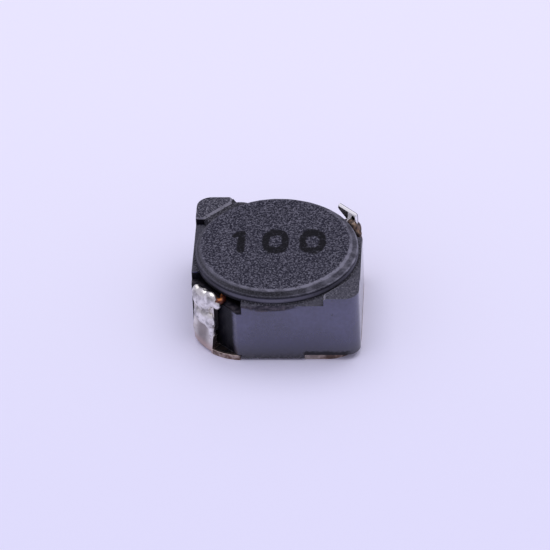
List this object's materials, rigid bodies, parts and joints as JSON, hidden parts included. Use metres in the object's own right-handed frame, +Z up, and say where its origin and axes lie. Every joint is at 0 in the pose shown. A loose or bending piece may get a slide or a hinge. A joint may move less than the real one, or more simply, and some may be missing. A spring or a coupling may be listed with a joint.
{
  "type": "shielded smd inductor",
  "caption": "Square shielded surface-mount power inductor: a wound ferrite drum set flush in a ferrite ring with clipped corners, and soldered sheet terminals under it.",
  "frame": {"origin": "the middle of the seating plane, under the two terminal plates", "axes": "+Z up off the circuit board, +X towards the right terminal, +Y away from the left terminal's ear"},
  "size_m": [0.0058, 0.0058, 0.0028],
  "materials": {
    "drum_ferrite": "ground matt, grainy",
    "shield_ferrite": "semi-gloss",
    "enamelled_wire": "enamelled",
    "tinned_copper": "satin",
    "solder": "satin",
    "black_epoxy": "matt"
  },
  "bodies": {
    "root": {"drum_core": "drum_ferrite", "shield_core": "shield_ferrite", "winding": "enamelled_wire", "terminal_left": "tinned_copper", "terminal_right": "tinned_copper", "solder_left": "solder", "solder_right": "solder", "flange_glue_back": "black_epoxy", "flange_glue_front": "black_epoxy", "bond_film_left": "black_epoxy", "bond_film_right": "black_epoxy"}
  },
  "joints": []
}
